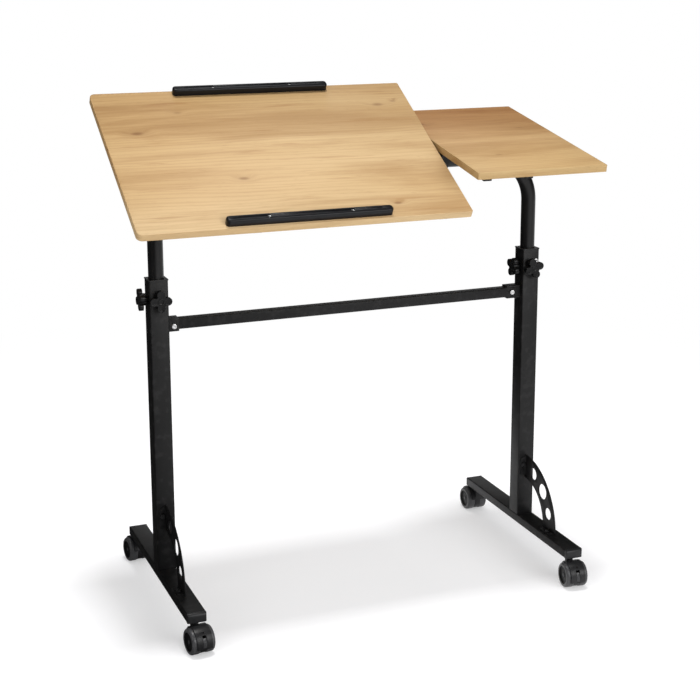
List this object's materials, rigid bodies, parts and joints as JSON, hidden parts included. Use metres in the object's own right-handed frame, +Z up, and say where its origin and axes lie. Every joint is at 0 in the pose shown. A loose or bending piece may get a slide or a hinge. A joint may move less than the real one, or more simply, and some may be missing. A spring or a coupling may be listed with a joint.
{
  "type": "height adjustable rolling desk",
  "caption": "Rolling desk with a wide tilting board and a narrow tilting side board on a bent lift tube that slides in square columns with clamp knobs.",
  "frame": {"origin": "on the floor below the middle of the overall box", "axes": "+X towards the side board, +Y towards the back, +Z up"},
  "size_m": [1, 0.5642, 1.0849],
  "materials": {
    "powder_coated_steel": "black powder coat, fine grained, satin",
    "black_plastic": "black moulded plastic, satin",
    "zinc_plated_steel": "bright zinc plated",
    "blackened_steel": "black oxide on steel screws, satin",
    "oak_decor": "oak decor with its grain across the width, satin",
    "oak_edge_band": "glued edge band in the same oak decor, a little paler",
    "wheel_plastic": "dark grey wheel plastic, satin"
  },
  "bodies": {
    "base": {"left_foot": "powder_coated_steel", "right_foot": "powder_coated_steel", "foot_end_caps": "black_plastic", "left_column": "powder_coated_steel", "right_column": "powder_coated_steel", "column_bushes": "black_plastic", "knob_nuts": "powder_coated_steel", "left_gusset": "powder_coated_steel", "right_gusset": "powder_coated_steel", "crossbar": "powder_coated_steel", "left_crossbar_bracket": "powder_coated_steel", "right_crossbar_bracket": "powder_coated_steel", "crossbar_bolts": "zinc_plated_steel", "gusset_bolts": "blackened_steel", "foot_bolts": "zinc_plated_steel", "lift_stop_screw": "zinc_plated_steel", "castor_stems": "zinc_plated_steel"},
    "lift": {"lift_tube": "powder_coated_steel", "lift_tube_glides": "black_plastic"},
    "main_top": {"main_board": "oak_decor", "main_edge_band": "oak_edge_band", "front_stop_rail": "black_plastic", "rear_stop_rail": "black_plastic", "rail_screws": "zinc_plated_steel", "main_left_support": "powder_coated_steel", "main_right_support": "powder_coated_steel", "main_support_screws": "zinc_plated_steel"},
    "side_top": {"side_board": "oak_decor", "side_edge_band": "oak_edge_band", "side_left_support": "powder_coated_steel", "side_right_support": "powder_coated_steel", "side_support_screws": "zinc_plated_steel"},
    "main_lock": {"main_lock_knob": "black_plastic", "main_lock_stud": "zinc_plated_steel"},
    "side_lock": {"side_lock_knob": "black_plastic", "side_lock_stud": "zinc_plated_steel"},
    "left_front_clamp": {"left_front_knob": "black_plastic", "left_front_stud": "zinc_plated_steel"},
    "left_side_clamp": {"left_side_knob": "black_plastic", "left_side_stud": "zinc_plated_steel"},
    "right_front_clamp": {"right_front_knob": "black_plastic", "right_front_stud": "zinc_plated_steel"},
    "right_side_clamp": {"right_side_knob": "black_plastic", "right_side_stud": "zinc_plated_steel"},
    "front_left_swivel": {"front_left_castor_hood": "black_plastic"},
    "front_left_wheels": {"front_left_castor_axle": "zinc_plated_steel", "front_left_castor_wheels": "wheel_plastic"},
    "front_left_brake": {"front_left_castor_brake": "black_plastic"},
    "front_right_swivel": {"front_right_castor_hood": "black_plastic"},
    "front_right_wheels": {"front_right_castor_axle": "zinc_plated_steel", "front_right_castor_wheels": "wheel_plastic"},
    "front_right_brake": {"front_right_castor_brake": "black_plastic"},
    "rear_left_swivel": {"rear_left_castor_hood": "black_plastic"},
    "rear_left_wheels": {"rear_left_castor_axle": "zinc_plated_steel", "rear_left_castor_wheels": "wheel_plastic"},
    "rear_right_swivel": {"rear_right_castor_hood": "black_plastic"},
    "rear_right_wheels": {"rear_right_castor_axle": "zinc_plated_steel", "rear_right_castor_wheels": "wheel_plastic"}
  },
  "joints": [
    {"name": "height", "type": "slide", "parent": "base", "child": "lift", "axis": [0, 0, 1], "range_m": [-0.09, 0.22]},
    {"name": "main_tilt", "type": "hinge", "parent": "lift", "child": "main_top", "pos_m": [0, 0, 0.92], "axis": [1, 0, 0], "range_deg": [-30, 30]},
    {"name": "side_tilt", "type": "hinge", "parent": "lift", "child": "side_top", "pos_m": [0.35, 0, 0.92], "axis": [1, 0, 0], "range_deg": [-10, 50]},
    {"name": "main_lock_turn", "type": "hinge", "parent": "main_top", "child": "main_lock", "pos_m": [0.136, 0.017, 0.89055], "axis": [0, 0.866, 0.5], "range_deg": [0, 360]},
    {"name": "side_lock_turn", "type": "hinge", "parent": "side_top", "child": "side_lock", "pos_m": [0.321, 0.0059, 0.88652], "axis": [0, 0.9848, 0.1736], "range_deg": [0, 360]},
    {"name": "left_front_clamp_turn", "type": "hinge", "parent": "base", "child": "left_front_clamp", "pos_m": [-0.413, -0.02, 0.67], "axis": [0, -1, 0], "range_deg": [0, 360]},
    {"name": "left_side_clamp_turn", "type": "hinge", "parent": "base", "child": "left_side_clamp", "pos_m": [-0.433, 0, 0.67], "axis": [-1, 0, 0], "range_deg": [0, 360]},
    {"name": "right_front_clamp_turn", "type": "hinge", "parent": "base", "child": "right_front_clamp", "pos_m": [0.441, -0.02, 0.67], "axis": [0, -1, 0], "range_deg": [0, 360]},
    {"name": "right_side_clamp_turn", "type": "hinge", "parent": "base", "child": "right_side_clamp", "pos_m": [0.421, 0, 0.67], "axis": [-1, 0, 0], "range_deg": [0, 360]},
    {"name": "front_left_swivel_turn", "type": "hinge", "parent": "base", "child": "front_left_swivel", "pos_m": [-0.413, -0.228, 0.063], "axis": [0, 0, 1], "continuous": true},
    {"name": "front_left_wheels_roll", "type": "hinge", "parent": "front_left_swivel", "child": "front_left_wheels", "pos_m": [-0.40994, -0.24979, 0.027], "axis": [0.9903, 0.1392, 0], "continuous": true},
    {"name": "front_left_brake_press", "type": "hinge", "parent": "front_left_swivel", "child": "front_left_brake", "pos_m": [-0.40732, -0.26842, 0.02964], "axis": [0.9903, 0.1392, 0], "range_deg": [0, 15]},
    {"name": "front_right_swivel_turn", "type": "hinge", "parent": "base", "child": "front_right_swivel", "pos_m": [0.441, -0.228, 0.063], "axis": [0, 0, 1], "continuous": true},
    {"name": "front_right_wheels_roll", "type": "hinge", "parent": "front_right_swivel", "child": "front_right_wheels", "pos_m": [0.4387, -0.24988, 0.027], "axis": [0.9945, -0.1045, 0], "continuous": true},
    {"name": "front_right_brake_press", "type": "hinge", "parent": "front_right_swivel", "child": "front_right_brake", "pos_m": [0.43673, -0.26859, 0.02964], "axis": [0.9945, -0.1045, 0], "range_deg": [0, 15]},
    {"name": "rear_left_swivel_turn", "type": "hinge", "parent": "base", "child": "rear_left_swivel", "pos_m": [-0.413, 0.228, 0.063], "axis": [0, 0, 1], "continuous": true},
    {"name": "rear_left_wheels_roll", "type": "hinge", "parent": "rear_left_swivel", "child": "rear_left_wheels", "pos_m": [-0.41606, 0.24979, 0.027], "axis": [0.9903, 0.1392, 0], "continuous": true},
    {"name": "rear_right_swivel_turn", "type": "hinge", "parent": "base", "child": "rear_right_swivel", "pos_m": [0.441, 0.228, 0.063], "axis": [0, 0, 1], "continuous": true},
    {"name": "rear_right_wheels_roll", "type": "hinge", "parent": "rear_right_swivel", "child": "rear_right_wheels", "pos_m": [0.441, 0.25, 0.027], "axis": [1, 0, 0], "continuous": true}
  ]
}
